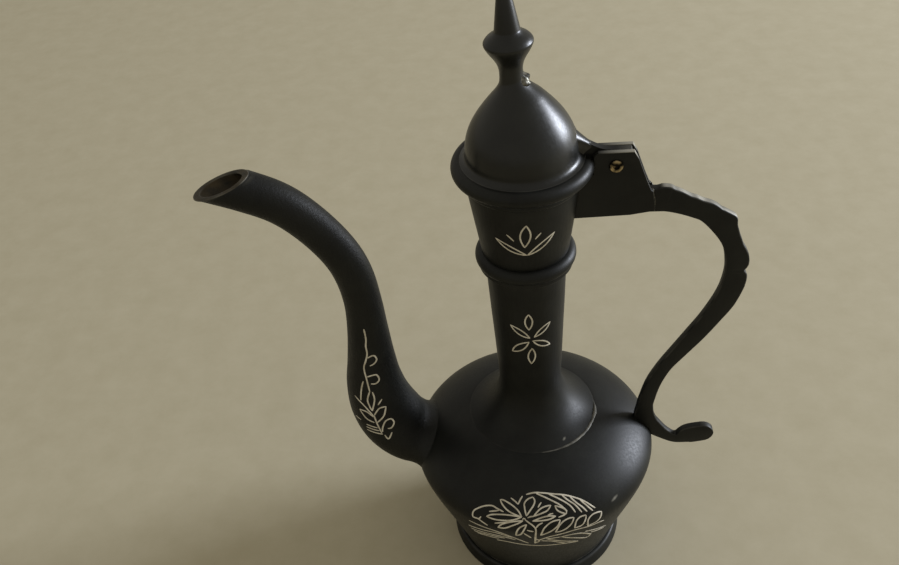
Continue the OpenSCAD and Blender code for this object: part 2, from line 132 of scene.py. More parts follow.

# %% [markdown]
# ## Blackened zinc alloy
# The metal is a grey alloy of zinc and a little copper. A paste of earth and salts turns its skin
# a deep matt black, and oil rubbed in afterwards gives it a satin gloss. To the eye it is nearly a
# black lacquer: broad soft highlights, a faint cloudiness, fine rubbing marks, and grey metal
# showing through where hands and cloths have worn the edges.
# The wear could be painted by hand. Here each mesh carries two numbers per point, wear and grime,
# worked out from how sharply its surface turns, and the material reads them. Along the handle's top
# edge the wear number is raised further, and there it also paints in a highlight of the window.

# %% Blackened alloy
def blackened(name, smoothest, roughest, shine, grit):
    """The black skin: its roughness from least to most, its shine, and its grain's height in mm."""
    made, tree, shader, place = new_finish(name)
    clouds = add(tree, "TexNoise", {"Vector": place, "Scale": per_mm(11), "Detail": 4, "Roughness": 0.6})
    cloudy = add(tree, "MapRange", {"Value": clouds.outputs["Fac"], "From Min": 0.35, "From Max": 0.68})
    stain = add(tree, "Mix", {0: cloudy.outputs[0], MIX_A: linear(STAIN), MIX_B: linear("171815")},
                data_type="RGBA")
    wear_and_highlight = add(tree, "Attribute", attribute_name="wear_and_highlight").outputs["Fac"]
    grime = add(tree, "Attribute", attribute_name="grime").outputs["Fac"]
    dusty = add(tree, "Mix", {0: grime, MIX_A: stain.outputs[MIX_OUT], MIX_B: linear("4a402f")},
                data_type="RGBA")
    # Bare metal where the stain is worn off; on the handle's top edge this colour is also a painted
    # highlight
    bare_metal_and_highlight = add(tree, "Mix", {0: wear_and_highlight, MIX_A: dusty.outputs[MIX_OUT], MIX_B: linear("a8a498")},
               data_type="RGBA")
    metal = add(tree, "Math", {0: wear_and_highlight, 1: 0.3}, operation="MULTIPLY")
    # Rubbing marks run up and down: the noise is drawn out fifteen times along the height
    drawn_out = add(tree, "Mapping", {"Vector": place, "Scale": (1, 1, 0.065)})
    rubs = add(tree, "TexNoise", {"Vector": drawn_out.outputs[0], "Scale": per_mm(0.55), "Detail": 3})
    satin = add(tree, "MapRange", {"Value": rubs.outputs["Fac"], "From Min": 0.3, "From Max": 0.7,
                                   "To Min": smoothest, "To Max": roughest})
    dulled = add(tree, "Math", {0: grime, 1: 0.3, 2: satin.outputs[0]}, operation="MULTIPLY_ADD")
    marks = add(tree, "Bump", {"Height": rubs.outputs["Fac"], "Strength": 0.25, "Distance": 0.02 * MM})
    # Cast grain is about 0.3 mm wide, drawn at 0.8 mm so that it shows in the render
    grain = add(tree, "TexNoise", {"Vector": place, "Scale": per_mm(0.8), "Detail": 5, "Roughness": 0.7})
    skin = add(tree, "Bump", {"Height": grain.outputs["Fac"], "Strength": 0.7, "Distance": grit * MM,
                              "Normal": marks.outputs[0]})
    plug(tree, shader, {"Base Color": bare_metal_and_highlight.outputs[MIX_OUT], "Metallic": metal.outputs[0],
                        "Roughness": dulled.outputs[0], "Normal": skin.outputs[0],
                        "Specular IOR Level": shine})
    return made


# Oiled, the skin is satin. Hands have polished the lid to a tighter highlight, and the spout was left dull.
black = blackened("blackened_zinc_alloy_cast_and_oiled", 0.42, 0.52, 0.25, 0.018)
black_polished = blackened("blackened_zinc_alloy_polished_by_hands", 0.3, 0.38, 0.42, 0.01)
black_dull = blackened("blackened_zinc_alloy_left_dull", 0.44, 0.58, 0.25, 0.2)

# %% [markdown]
# ## Silver wire, brass and solder
# Silver wire about half a millimetre wide is hammered into cut grooves and filed flush. Old silver is
# no mirror: tarnish makes it creamy, dull and a little patchy, so it is barely metallic here. The hinge
# pin is peened brass, brown where dirt sits. Solder stays as it ran: grey, soft and lumpy. All three
# keep the default IOR, as metals do, and differ in colour, roughness and unevenness.

# %% Silver wire
silver, tree, shader, place = new_finish("silver_wire_hammered_and_tarnished")
patches = add(tree, "TexNoise", {"Vector": place, "Scale": per_mm(2.2), "Detail": 3})
patchy = add(tree, "MapRange", {"Value": patches.outputs["Fac"], "From Min": 0.38, "From Max": 0.66})
tarnish = add(tree, "Mix", {0: patchy.outputs[0], MIX_A: linear("dcd6c6"), MIX_B: linear("b9b19e")},
              data_type="RGBA")
hammer = add(tree, "TexNoise", {"Vector": place, "Scale": per_mm(0.9)})
dents = add(tree, "Bump", {"Height": hammer.outputs["Fac"], "Strength": 0.4, "Distance": 0.03 * MM})
plug(tree, shader, {"Base Color": tarnish.outputs[MIX_OUT], "Metallic": 0.1, "Roughness": 0.62,
                    "Normal": dents.outputs[0]})

# %% Brass
brass, tree, shader, place = new_finish("brass_pin_peened")
grime = add(tree, "Attribute", attribute_name="grime").outputs["Fac"]
patches = add(tree, "TexNoise", {"Vector": place, "Scale": per_mm(1.1), "Detail": 4})
browned = add(tree, "Mix", {0: patches.outputs["Fac"], MIX_A: linear("e0cba0"), MIX_B: linear("8c774e")},
              data_type="RGBA")
dirty = add(tree, "Mix", {0: grime, MIX_A: browned.outputs[MIX_OUT], MIX_B: linear("17140e")},
            data_type="RGBA")
dull = add(tree, "MapRange", {"Value": patches.outputs["Fac"], "To Min": 0.3, "To Max": 0.55})
plug(tree, shader, {"Base Color": dirty.outputs[MIX_OUT], "Metallic": 0.9, "Roughness": dull.outputs[0]})

# %% Solder
solder, tree, shader, place = new_finish("tin_solder_as_it_ran")
patches = add(tree, "TexNoise", {"Vector": place, "Scale": per_mm(1.6), "Detail": 4, "Roughness": 0.6})
patchy = add(tree, "MapRange", {"Value": patches.outputs["Fac"], "From Min": 0.4, "From Max": 0.62})
stained = add(tree, "Mix", {0: patchy.outputs[0], MIX_A: linear("2a2a26"), MIX_B: linear("7c7a70")},
              data_type="RGBA")
ripples = add(tree, "Bump", {"Height": patches.outputs["Fac"], "Strength": 0.6, "Distance": 0.08 * MM})
plug(tree, shader, {"Base Color": stained.outputs[MIX_OUT], "Metallic": 0.8, "Roughness": 0.36,
                    "Normal": ripples.outputs[0]})

# %% [markdown]
# ## From an outline to a piece
# Every new piece goes through the same few steps: a mesh from points and faces, normals that point
# outwards, smooth shading with real corners kept, the wear and grime numbers, and a ride on its body.
# The wear number asks how far a point's neighbours fall behind its own tangent plane. On a flat it
# is nothing, on an outside corner it is large, and in an inside corner it turns negative: that is
# where dirt collects.

# %% Wear and grime
WEAR_FROM, WEAR_FULL, GRIME_MOST = 0.07, 0.3, 0.6


def unit(rows):
    """Directions, each of length one."""
    return rows / np.maximum(np.linalg.norm(rows, axis=1), 1e-9)[:, None]


def read_mark(mesh, name):
    """The wear or grime at each point of a mesh."""
    values = np.zeros(len(mesh.vertices), np.float32)
    mesh.attributes[name].data.foreach_get("value", values)
    return values


def write_mark(mesh, name, values):
    """Stores the wear or grime at each point of a mesh."""
    mark = mesh.attributes.get(name) or mesh.attributes.new(name, "FLOAT", "POINT")
    mark.data.foreach_set("value", np.asarray(values, np.float32))


def mark_wear(mesh, most):
    """Puts wear on outside corners and grime in inside ones, broken up by noise."""
    count = len(mesh.vertices)
    at, out = np.zeros(count * 3), np.zeros(count * 3)
    ends = np.zeros(len(mesh.edges) * 2, int)
    mesh.vertices.foreach_get("co", at)
    mesh.vertex_normals.foreach_get("vector", out)
    mesh.edges.foreach_get("vertices", ends)
    at, out, ends = at.reshape(-1, 3), out.reshape(-1, 3), ends.reshape(-1, 2)
    way = unit(at[ends[:, 1]] - at[ends[:, 0]])
    fall, number = np.zeros(count), np.zeros(count)
    for end, sign in ((0, -1), (1, 1)):
        np.add.at(fall, ends[:, end], sign * (out[ends[:, end]] * way).sum(1))
        np.add.at(number, ends[:, end], 1)
    fall /= np.maximum(number, 1)
    patchy = np.clip([0.5 + 0.9 * noise.noise(Vector(p) * per_mm(3)) for p in at], 0, 1)
    for name, sign, share in (("wear_and_highlight", 1, most), ("grime", -1, GRIME_MOST)):
        sharp = np.clip((sign * fall - WEAR_FROM) / (WEAR_FULL - WEAR_FROM), 0, 1)
        write_mark(mesh, name, sharp * share * patchy)


print(f"wear starts where neighbours fall back by {WEAR_FROM}, and is full at {WEAR_FULL}")

# %% A piece and its place on a body
def piece(name, points, faces, nodes=(), material=black, body="vessel", slot="blackened_alloy",
          corner=40, most=0.25):
    """A finished mesh from points in millimetres, riding on a body in place of CAD nodes."""
    mesh = bpy.data.meshes.new(name)
    mesh.from_pydata([Vector(p) * MM for p in points], [], faces)
    work = bmesh.new()
    work.from_mesh(mesh)
    bmesh.ops.recalc_face_normals(work, faces=work.faces)
    work.to_mesh(mesh)
    work.free()
    mesh.shade_smooth()
    mesh.set_sharp_from_angle(angle=math.radians(corner))
    mark_wear(mesh, most)
    mesh.materials.append(material)
    made = bpy.data.objects.new(name, mesh)
    scene.collection.objects.link(made)
    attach(made, body)
    if nodes:
        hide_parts(*nodes)
    print(f"{name}: {len(mesh.vertices)} points on {body}")
    return made


# %% [markdown]
# ## Turned pieces
# Most of the ewer is turned: an outline of radius and height, spun about the axis. Blender's Screw
# modifier or Spin tool would do, but spinning the points in code leaves room to round the corners
# first and to add the slight unevenness of hand work afterwards. The unevenness only ever takes
# metal away, up to 0.1 mm, so nothing grows past the CAD model.

# %% Outlines and turning
def bezier(a, b, c, d, count):
    """Points on a cubic curve, both ends included."""
    t = np.linspace(0, 1, count + 1)[:, None]
    a, b, c, d = (np.array(p, float) for p in (a, b, c, d))
    return (1 - t) ** 3 * a + 3 * t * (1 - t) ** 2 * b + 3 * t * t * (1 - t) * c + t ** 3 * d


REAL_CORNER, CORNER_SHARE = 20, 0.45


def softened(loop, radius):
    """A closed outline with its real corners rounded; corners on the axis stay."""
    loop = [np.array(p, float) for p in loop]
    soft = []
    for before, at, after in zip(loop[-1:] + loop[:-1], loop, loop[1:] + loop[:1]):
        one, two = before - at, after - at
        long_one, long_two = np.linalg.norm(one), np.linalg.norm(two)
        bend = 180 - math.degrees(math.acos(np.clip(one @ two / (long_one * long_two), -1, 1)))
        if bend < REAL_CORNER or at[0] < radius:
            soft.append(at)
            continue
        start = at + one / long_one * min(radius, long_one * CORNER_SHARE)
        end = at + two / long_two * min(radius, long_two * CORNER_SHARE)
        soft += [(1 - t) ** 2 * start + 2 * t * (1 - t) * at + t * t * end for t in np.linspace(0, 1, 5)]
    return soft


def uneven(point):
    """How far hand work has taken the surface in at a point, in millimetres."""
    spot = Vector(point)
    return 0.05 + 0.035 * noise.noise(spot / 15) + 0.015 * noise.noise(spot / 4)


SIDES = 144


def turned(loop):
    """Points and faces of a closed outline spun about the axis."""
    points, rings, faces = [], [], []
    for r, z in loop:
        if r < 1e-6:
            rings.append([len(points)] * SIDES)
            points.append((0, 0, z))
            continue
        rings.append([len(points) + k for k in range(SIDES)])
        for k in range(SIDES):
            a = 2 * math.pi * k / SIDES
            spot = (r * math.cos(a), r * math.sin(a), z)
            share = (r - uneven(spot)) / r
            points.append((spot[0] * share, spot[1] * share, z))
    for low, high in zip(rings, rings[1:] + rings[:1]):
        for k in range(SIDES):
            n = (k + 1) % SIDES
            face = list(dict.fromkeys([low[k], low[n], high[n], high[k]]))
            if len(face) > 2:
                faces.append(face)
    return points, faces


print("an outline turns into", SIDES, "sides")

# %% [markdown]
# ## Foot, belly and neck
# The belly is one casting: straight sides that lean out, a full round edge and a flat shoulder.
# The neck with its flaring skirt is a second casting, soldered on the shoulder. Their outlines are
# the CAD model's own curves with more steps, so the highlights run over them without bands.

# %% Foot ring
foot = softened([(22.8, 0), (27.9, 0), (28.3, 0.4), (27.4, 4.5), (22.8, 4.5)], 0.9)
piece("foot_ring_turned", *turned(foot), ["foot_ring"])

# %% Belly
BELLY_R, BELLY_H, BODY_WALL, INSIDE_FROM = 38, 40.5, 2.2, 7.3
side = bezier((26.3, 4.5), (30.98, 19.62), (BELLY_R, 36.5), (BELLY_R, BELLY_H), 30)
shoulder = bezier((BELLY_R, BELLY_H), (BELLY_R, 46.3), (28.85, 53.2), (19.7, 55), 30)
outside = np.vstack([side, shoulder[1:]])
heading = unit(np.gradient(outside, axis=0))
inside = outside + BODY_WALL * np.c_[-heading[:, 1], heading[:, 0]]
inside = inside[inside[:, 1] > INSIDE_FROM]
belly = [*outside, (16.2, 55), (16.2, inside[-1][1]), *inside[::-2], (24.1, 6.3), (24.1, 4.5)]
made = piece("belly_cast", *turned(belly), ["body"])
NICK_WEAR = 0.5


def nick(made, place):
    """A knock through the black: the point of a piece nearest to a place shows bare metal."""
    away = [(v.co / MM - Vector(place)).length for v in made.data.vertices]
    made.data.attributes["wear_and_highlight"].data[int(np.argmin(away))].value = NICK_WEAR


nick(made, (23.9, -28, 44.3))

# %% Neck and skirt
NECK_WALL, SKIRT_WALL = 1.8, 3.5
skirt = bezier((19.7, 55), (14.95, 57), (9.056, 62), (9.5, 72), 30)
tube = np.c_[np.linspace(9.5, 11.4, 15), np.linspace(72, 114.8, 15)][1:]
outside_neck = np.vstack([skirt, tube])
skirt_bore = skirt - np.c_[np.linspace(SKIRT_WALL, NECK_WALL, 31), np.zeros(31)]
bore = np.vstack([skirt_bore, tube - (NECK_WALL, 0)])
neck = [*outside_neck, (10.87, 114.8), (10.87, 117.5), (9.6, 117.5), *bore[::-1]]
made = piece("neck_cast", *turned(neck), ["neck"], most=0.03)
nick(made, (9.2, -15, 56))

# %% [markdown]
# ## Collar, cup and mouth
# A bead with a thin ring under it covers the joint between the neck and the cup. The cup tapers
# outwards to a rolled rim. Each is a short outline, and only its corners need care: a filed corner
# is never sharp, and the light that it catches is what the eye reads as metal.

# %% Collar, cup and mouth rim
def arc(centre, radius, start, stop, count=16):
    """Points on part of a circle in an outline, by its angles in degrees."""
    turns = np.radians(np.linspace(start, stop, count))
    return [(centre[0] + radius * math.cos(a), centre[1] + radius * math.sin(a)) for a in turns]


collar = [(10.9, 114.8), (13.2, 114.8), (13.2, 115.8), *arc((11.8, 117.9), 2.3, -54, 90), (10.9, 120.2)]
piece("collar_bead", *turned(softened(collar, 0.2)), ["collar"])
cup = [(9.6, 117.5), (10.87, 117.5), (10.87, 120.2), (12.2, 120.2),
       *np.c_[np.linspace(12.4, 15.3, 12), np.linspace(121.6, 142.2, 12)], (13.5, 142.2)]
piece("cup_cast", *turned(softened(cup, 0.25)), ["cup"])
mouth = [(13.5, 142.2), *arc((15, 143.4), 1.2, -90, 90), (13.5, 144.6)]
piece("mouth_rim_rolled", *turned(softened(mouth, 0.25)), ["mouth_rim"], most=0.2)

# %% [markdown]
# ## The spout
# The spout is a hollow tube that swells out of the belly, climbs in an S and is cut off at a slant.
# A Bezier curve with a bevel gives a tube, but not one whose end lies in a slanted plane and whose
# root lies on the belly. Here each of the tube's lengthwise lines is followed from where it leaves
# the belly to where it meets the plane of the mouth, so both ends come out clean.

# %% The line of the spout
def smooth(points, count):
    """A run through points that also carries along the numbers after their place."""
    points = np.array(points, float)
    made = []
    for i in range(len(points) - 1):
        a, b, c, d = points[max(i - 1, 0)], points[i], points[i + 1], points[min(i + 2, len(points) - 1)]
        for t in np.arange(count) / count:
            made.append(0.5 * (2 * b + (c - a) * t + (2 * a - 5 * b + 4 * c - d) * t ** 2
                               + (3 * b - a - 3 * c + d) * t ** 3))
    return np.array(made + [points[-1]])


def far_along(line):
    """How far along a line each of its points lies."""
    return np.r_[0, np.cumsum(np.linalg.norm(np.diff(line, axis=0), axis=1))]


# Each point is X, height, radius and radius on the upper side; the first two lie inside the belly.
# On its upper side the root was filed down, so that it runs into the shoulder without a bulge.
SPOUT_KNOT = 24
spout_run = smooth([
    (-20, 40.6, 8, 3.5), (-29, 43, 9.68, 6.5), (-38, 45.5, 11, 8.2), (-44, 51, 11, 10.1),
    (-47.5, 59, 10.23, 10), (-48.8, 68.28, 8.91, 8.91), (-48.6, 77.98, 7.48, 7.48),
    (-48.2, 89.62, 6.272, 6.272), (-48.2, 101.26, 5.6, 5.6), (-49.5, 111.93, 5.6, 5.6),
    (-52.6, 120.66, 5.6, 5.6), (-58.6, 129.875, 5.656, 5.656), (-66.088, 137.5, 5.768, 5.768),
    (-75.656, 142.6, 5.824, 5.824), (-90.8, 148.6, 5.824, 5.824), (-103.8, 154.5, 5.824, 5.824)], SPOUT_KNOT)
spout_way = unit(np.gradient(spout_run[:, :2], axis=0))


def spout_line(under, beside, shrink=0):
    """One lengthwise line of the tube; under is 1 on its lower side and -1 on its upper side."""
    r = spout_run[:, 2] + (spout_run[:, 3] - spout_run[:, 2]) * np.maximum(0, -under) ** 2 - shrink
    return np.c_[spout_run[:, 0] - spout_way[:, 1] * r * under, r * beside,
                 spout_run[:, 1] + spout_way[:, 0] * r * under]


print(f"the spout runs {far_along(spout_run[:, :2])[-1]:.0f} mm")

# %% From the belly to the mouth
LIP, LIP_TILT = np.array((-89.8, 0, 142)), math.radians(19.5)
MOUTH_WAY = np.array((-math.sin(LIP_TILT), 0, math.cos(LIP_TILT)))
SPOUT_WALL, SPOUT_SIDES, SPOUT_STEPS = 1.5, 64, 110


def crossing(values, i):
    """The place between steps i and i + 1 where values pass through zero."""
    return i + values[i] / (values[i] - values[i + 1])


def read_off(line, marks, stations):
    """Places on a line, at stations between the marks of its points."""
    return np.c_[tuple(np.interp(stations, marks, line[:, n]) for n in range(line.shape[1]))]


def spout_part(angle, shrink):
    """The stretch of one line from the belly's surface to the plane of the mouth."""
    line = spout_line(math.cos(angle), math.sin(angle), shrink)
    belly_r = np.interp(line[:, 2], outside[:, 1], outside[:, 0], right=0)
    clear = np.hypot(line[:, 0], line[:, 1]) - belly_r
    root = crossing(clear, np.where(clear < 0)[0][-1])
    over_mouth = (line - LIP) @ MOUTH_WAY
    over_mouth[:len(line) // 2] = -1
    end = crossing(over_mouth, np.where(over_mouth > 0)[0][0] - 1)
    return read_off(line, np.arange(len(line)), np.linspace(root, end, SPOUT_STEPS))


angles = [2 * math.pi * k / SPOUT_SIDES for k in range(SPOUT_SIDES)]
outer = np.array([spout_part(a, 0) for a in angles])
inner = np.array([spout_part(a, SPOUT_WALL) for a in angles])
print(f"the mouth is {np.ptp(outer[:, -1, 0]):.1f} mm long")

# %% The root flows into the belly
FILLET_UP, FILLET_OUT, FILLET_STEPS, FILLET_PULL, FILLET_SINK = 5, 3.4, 12, 0.62, 0.15
last = len(outside) - 1
fine_belly = read_off(outside, np.arange(last + 1), np.linspace(0, last, 1500))


def on_belly(point, sink):
    """The nearest place on the belly's outside, a little under its surface."""
    radius = math.hypot(point[0], point[1])
    near = fine_belly[np.argmin(np.hypot(fine_belly[:, 0] - radius, fine_belly[:, 1] - point[2]))]
    share = (near[0] - sink) / radius
    return np.array((point[0] * share, point[1] * share, near[1] - sink))


# Each line leaves the tube early, and lands on the belly farther out.
# On the upper side, tube and shoulder meet in a notch, and the fillet is small.
middle = outer[:, 0].mean(axis=0)
flowing = []
for angle, line in zip(angles, outer):
    share = 1 - 0.85 * min(1, 1.3 * max(0, -math.cos(angle))) ** 1.5
    away = far_along(line)
    tube_part = read_off(line, away, np.linspace(FILLET_UP * share, away[-1], SPOUT_STEPS))
    start, knee = tube_part[0], line[0]
    outwards = (knee - middle) / np.linalg.norm(knee - middle)
    land = on_belly(knee + outwards * FILLET_OUT * share, FILLET_SINK)
    turn_up = bezier(land, land + (knee - land) * FILLET_PULL, start + (knee - start) * FILLET_PULL,
                     start, FILLET_STEPS)
    flowing.append(np.vstack([turn_up[:-1], tube_part]))
outer = np.array(flowing)
print("the fillet is", FILLET_UP, "mm high")

# %% Lip and skin
# The lip is rounded: the wall's edge is set in from the cut by about a third of a millimetre
ROUND = 0.35
NEARLY = ROUND * 0.3
across = unit(inner[:, -1] - outer[:, -1])
lip_rings = [outer[:, -1] + across * NEARLY - MOUTH_WAY * NEARLY, outer[:, -1] + across * ROUND,
             inner[:, -1] - across * ROUND, inner[:, -1] - across * NEARLY - MOUTH_WAY * NEARLY]
outer[:, -1] -= MOUTH_WAY * ROUND
inner[:, -1] -= MOUTH_WAY * ROUND
rings = [*outer.swapaxes(0, 1), *lip_rings, *inner.swapaxes(0, 1)[::-1]]


def skin_over(rings, closed=True):
    """Points and faces of rings of equal count, joined in a row, and back to the first if closed."""
    count = len(rings[0])
    points = [tuple(p) for ring in rings for p in ring]
    faces = []
    for i in range(len(rings) if closed else len(rings) - 1):
        low, high = i * count, (i + 1) % len(rings) * count
        for k in range(count):
            n = (k + 1) % count
            faces.append([low + k, low + n, high + n, high + k])
    if not closed:
        faces += [list(range(count))[::-1], [(len(rings) - 1) * count + k for k in range(count)]]
    return points, faces


made = piece("spout_cast", *skin_over(rings), ["spout"], black_dull, most=0.6)
# Dried wine and dust cling to the lip and the first centimetre inside
DIRT_RINGS, LIP_DIRT = 24, 0.6
first = outer.shape[1] * SPOUT_SIDES
inner_points = made.data.vertices[first:]
depth = np.arange(len(inner_points)) // SPOUT_SIDES
patchy = np.array([0.75 + 0.9 * noise.noise(v.co * per_mm(2.5)) for v in inner_points])
caked = np.clip((0.95 - depth / DIRT_RINGS) * patchy, 0, 0.9)
write_mark(made.data, "grime", np.r_[np.zeros(first), caked * np.where(depth < len(lip_rings), LIP_DIRT, 1)])

# %% [markdown]
# ## The handle
# The handle is a flat strap cut from plate, bent in a long S, with lobes filed into its outer edge
# and a tail that ends in a round drop. A flat outline could be extruded and bevelled, but a strap
# swept from a rounded cross-section has even faces along its run and an edge that can be worn.

# %% The line of the strap
STRAP_T, STRAP_EDGE, TAIL_R = 2.3, 0.45, 3.6
# Each point is X, height and width, from the cup to the tail
strap_points = [
    (12.2, 133.9, 7.6), (24, 133.9, 7.6), (34.4, 133.9, 7.6), (39.08, 133.292, 7.22),
    (45.36, 130.39, 5.776), (49.98, 127.64, 6.004), (55.59, 119.31, 5.396), (57.57, 111.36, 5.624),
    (57.35, 104.49, 5.852), (56.03, 97.99, 6.612), (52.29, 90.43, 5.928), (48.59, 84.16, 5.624),
    (44.59, 77.9, 4.94), (40.5, 71.3, 4.32), (37.6, 64.5, 4.56), (35.9, 57.5, 4.8), (35.4, 53.8, 5.184),
    (35.6, 48.2, 6.72), (38.2, 44.5, 5.856), (42.3, 40.7, 4.032), (45.7, 39, 3.84), (49.6, 40.3, 6.984),
    (53.8, 41.2, 7.2)]
STRAP_STEPS = 16
strap_run = smooth(strap_points, STRAP_STEPS)
strap_way = unit(np.gradient(strap_run[:, :2], axis=0))
# Flats and lobes filed into the outer edge: place along the run in points, and height
edge_rise = np.array([
    (0, 0), (2.1, 0), (2.3, 0.45), (2.75, 0.5), (2.95, 0.1), (3.6, 0), (3.8, 0.35), (5, 0.3), (5.2, 1),
    (5.42, 1.95), (5.5, 1.75), (5.65, 0.8), (5.95, 0.1), (6.3, 0), (6.45, 0.4), (6.7, 0.85), (6.95, 0.93),
    (7.15, 0.75), (7.3, 0.2), (7.4, -0.55), (7.5, 0.3), (7.65, 0.75), (7.9, 0.87), (8.2, 0.75),
    (8.6, 0.25), (8.9, 0)])
along_run = np.arange(len(strap_run)) / STRAP_STEPS
rise = np.interp(along_run, edge_rise[:, 0], edge_rise[:, 1])
stations = [(p[:2], w, p[2] / 2, p[2] / 2 + r) for p, w, r in zip(strap_run, strap_way, rise)]
# The round end of the tail, as ever narrower steps
for step in np.sin(np.linspace(0, math.pi / 2, 9))[1:] * TAIL_R * 0.995:
    half = math.sqrt(TAIL_R ** 2 - step ** 2)
    stations.append((strap_run[-1][:2] + strap_way[-1] * step, strap_way[-1], half, half))
print(f"the strap runs {far_along(strap_run[:, :2])[-1]:.0f} mm")

# %% The strap
CORNER_STEPS = 4
SECTION = 4 * CORNER_STEPS


def strap_section(place, way, inwards, outwards):
    """A rounded rectangle across the strap."""
    edge = min(STRAP_EDGE, inwards * 0.4)
    half = STRAP_T / 2
    corners = ((outwards, half, 0), (-inwards, half, 90), (-inwards, -half, 180), (outwards, -half, 270))
    ring = []
    for reach, y, start in corners:
        middle = (reach - math.copysign(edge, reach), y - math.copysign(edge, y))
        for a in np.radians(np.linspace(start, start + 90, CORNER_STEPS)):
            u = middle[0] + edge * math.cos(a)
            ring.append((place[0] - way[1] * u, -(middle[1] + edge * math.sin(a)), place[1] + way[0] * u))
    return ring


strap = skin_over([strap_section(*s) for s in stations], closed=False)
made = piece("handle_strap", *strap, ["handle"], corner=35, most=0.4)
# Hands have rubbed the stain off the top edge, from the bracket to the corner and a little past it.
# The bare-metal colour there is also a painted highlight of the window on the strap's top flats.
worn = read_mark(made.data, "wear_and_highlight")
for i, at in enumerate(along_run):
    rubbed_and_highlit = np.interp(at, (2.2, 2.5, 5.6, 6.6), (0, 0.85, 0.85, 0))
    for k in (i * SECTION, i * SECTION + SECTION - 1):
        patch = np.clip(0.75 + 0.9 * noise.noise(made.data.vertices[k].co * per_mm(4)), 0, 1)
        worn[k] = max(worn[k], rubbed_and_highlit * patch)
write_mark(made.data, "wear_and_highlight", worn)

# %% [markdown]
# ## Hinge bracket and tongue
# Two cheeks of sheet metal are soldered on the sides of the strap and against the cup. Between them
# turns the tongue of the lid, on a brass pin. A flat plate with a hole is quickest as a filled 2-D
# curve: Blender fills between the outlines, gives it a thickness and bevels its edges in one go.

# %% Plates from filled outlines
PLATE_EDGE = 0.2


def plate(node, outlines, thickness, y, **finish):
    """A bevelled plate standing along X, centred on y, in place of a CAD node."""
    drawing = bpy.data.curves.new("drawing", "CURVE")
    drawing.dimensions = "2D"
    drawing.fill_mode = "BOTH"
    drawing.extrude = thickness / 2 - PLATE_EDGE
    drawing.bevel_depth = PLATE_EDGE
    drawing.bevel_resolution = 2
    drawing.offset = -PLATE_EDGE
    for outline in outlines:
        line = drawing.splines.new("POLY")
        line.points.add(len(outline) - 1)
        line.points.foreach_set("co", [n for x, z in outline for n in (x, z, 0, 1)])
        line.use_cyclic_u = True
    draft = bpy.data.objects.new("draft", drawing)
    scene.collection.objects.link(draft)
    mesh = bpy.data.meshes.new_from_object(draft.evaluated_get(bpy.context.evaluated_depsgraph_get()))
    work = bmesh.new()
    work.from_mesh(mesh)
    bmesh.ops.remove_doubles(work, verts=work.verts, dist=0.001)
    points = [(v.co.x, y - v.co.z, v.co.y) for v in work.verts]
    faces = [[v.index for v in f.verts] for f in work.faces]
    work.free()
    bpy.data.objects.remove(draft)
    bpy.data.curves.remove(drawing)
    bpy.data.meshes.remove(mesh)
    made = piece(f"{node}_plate", points, faces, [node], corner=35, **finish)
    made.modifiers.new("even_flats", "WEIGHTED_NORMAL").keep_sharp = True
    return made


print("plates have edges bevelled by", PLATE_EDGE, "mm")

# %% Cheeks
PIN_X, PIN_Z, PIN_D = 24, 146.4, 2.6
CHEEK_T, CHEEK_TOP, CHEEK_PLAY = 1.4, 150.5, 0.03
RUB_X, RUB_Z, RUB_MOST, RUB_REACH = 28.9, 150.2, 0.9, 1.8
# The front, towards the camera, lies at negative Y
FRONT_BACK = (("front", -1), ("back", 1))
cheek_y = (STRAP_T + CHEEK_T) / 2
cheek_outline = [
    (12.7, 130.1), (28, 130.5), (34.4, 131.5), (34.4, 133.23), (33.8, 137.7), (33.2, 138.3), (32, 141.5),
    (29.8, 148.1), (28.6, CHEEK_TOP), (19.4, CHEEK_TOP), (18.2, 149.3), (18.2, 144), (15.9, 144),
    (15.9, 142.3), (14.8, 142.3)]
pin_hole = arc((PIN_X, PIN_Z), PIN_D / 2 + CHEEK_PLAY, 360, 12, 30)
for side_name, sign in FRONT_BACK:
    made = plate(f"hinge_cheek_{side_name}", [cheek_outline, pin_hole], CHEEK_T, sign * cheek_y, most=0.08)
    # The upper corner towards the hand is rubbed bright
    worn = read_mark(made.data, "wear_and_highlight")
    for v in made.data.vertices:
        x, y, z = v.co / MM
        on_flat = abs(abs(y) - cheek_y) > CHEEK_T / 2 - 0.01
        if not on_flat:
            away = math.hypot(x - RUB_X, z - RUB_Z)
            worn[v.index] = max(worn[v.index], min(RUB_MOST, 1.2 - away / RUB_REACH))
    write_mark(made.data, "wear_and_highlight", worn)

# %% Tongue
KNUCKLE_R, WEB_LOW, TONGUE_PLAY, PIN_PLAY = 4, 145.2, 0.12, 0.06
arm = bezier((PIN_X, 150.4), (20.6, 150.4), (17.85, 151.6), (11.7, 157.4), 16)
# Its root lies in the wall of the dome
tongue_outline = [
    (28.2, 147), (28.2, 150.1), (27.9, 150.4), *[tuple(p) for p in arm if p[0] > 12.2], (13.4, 153.5),
    (13.8, 149.4), (15.3, 149.4), (15.3, 145.6), (16.1, WEB_LOW),
    *arc((PIN_X, PIN_Z), KNUCKLE_R, 197.5, 352, 24)]
tongue_hole = arc((PIN_X, PIN_Z), PIN_D / 2 + PIN_PLAY, 360, 12, 30)
plate("lid_tongue", [tongue_outline, tongue_hole], STRAP_T - 2 * TONGUE_PLAY, 0, body="lid")

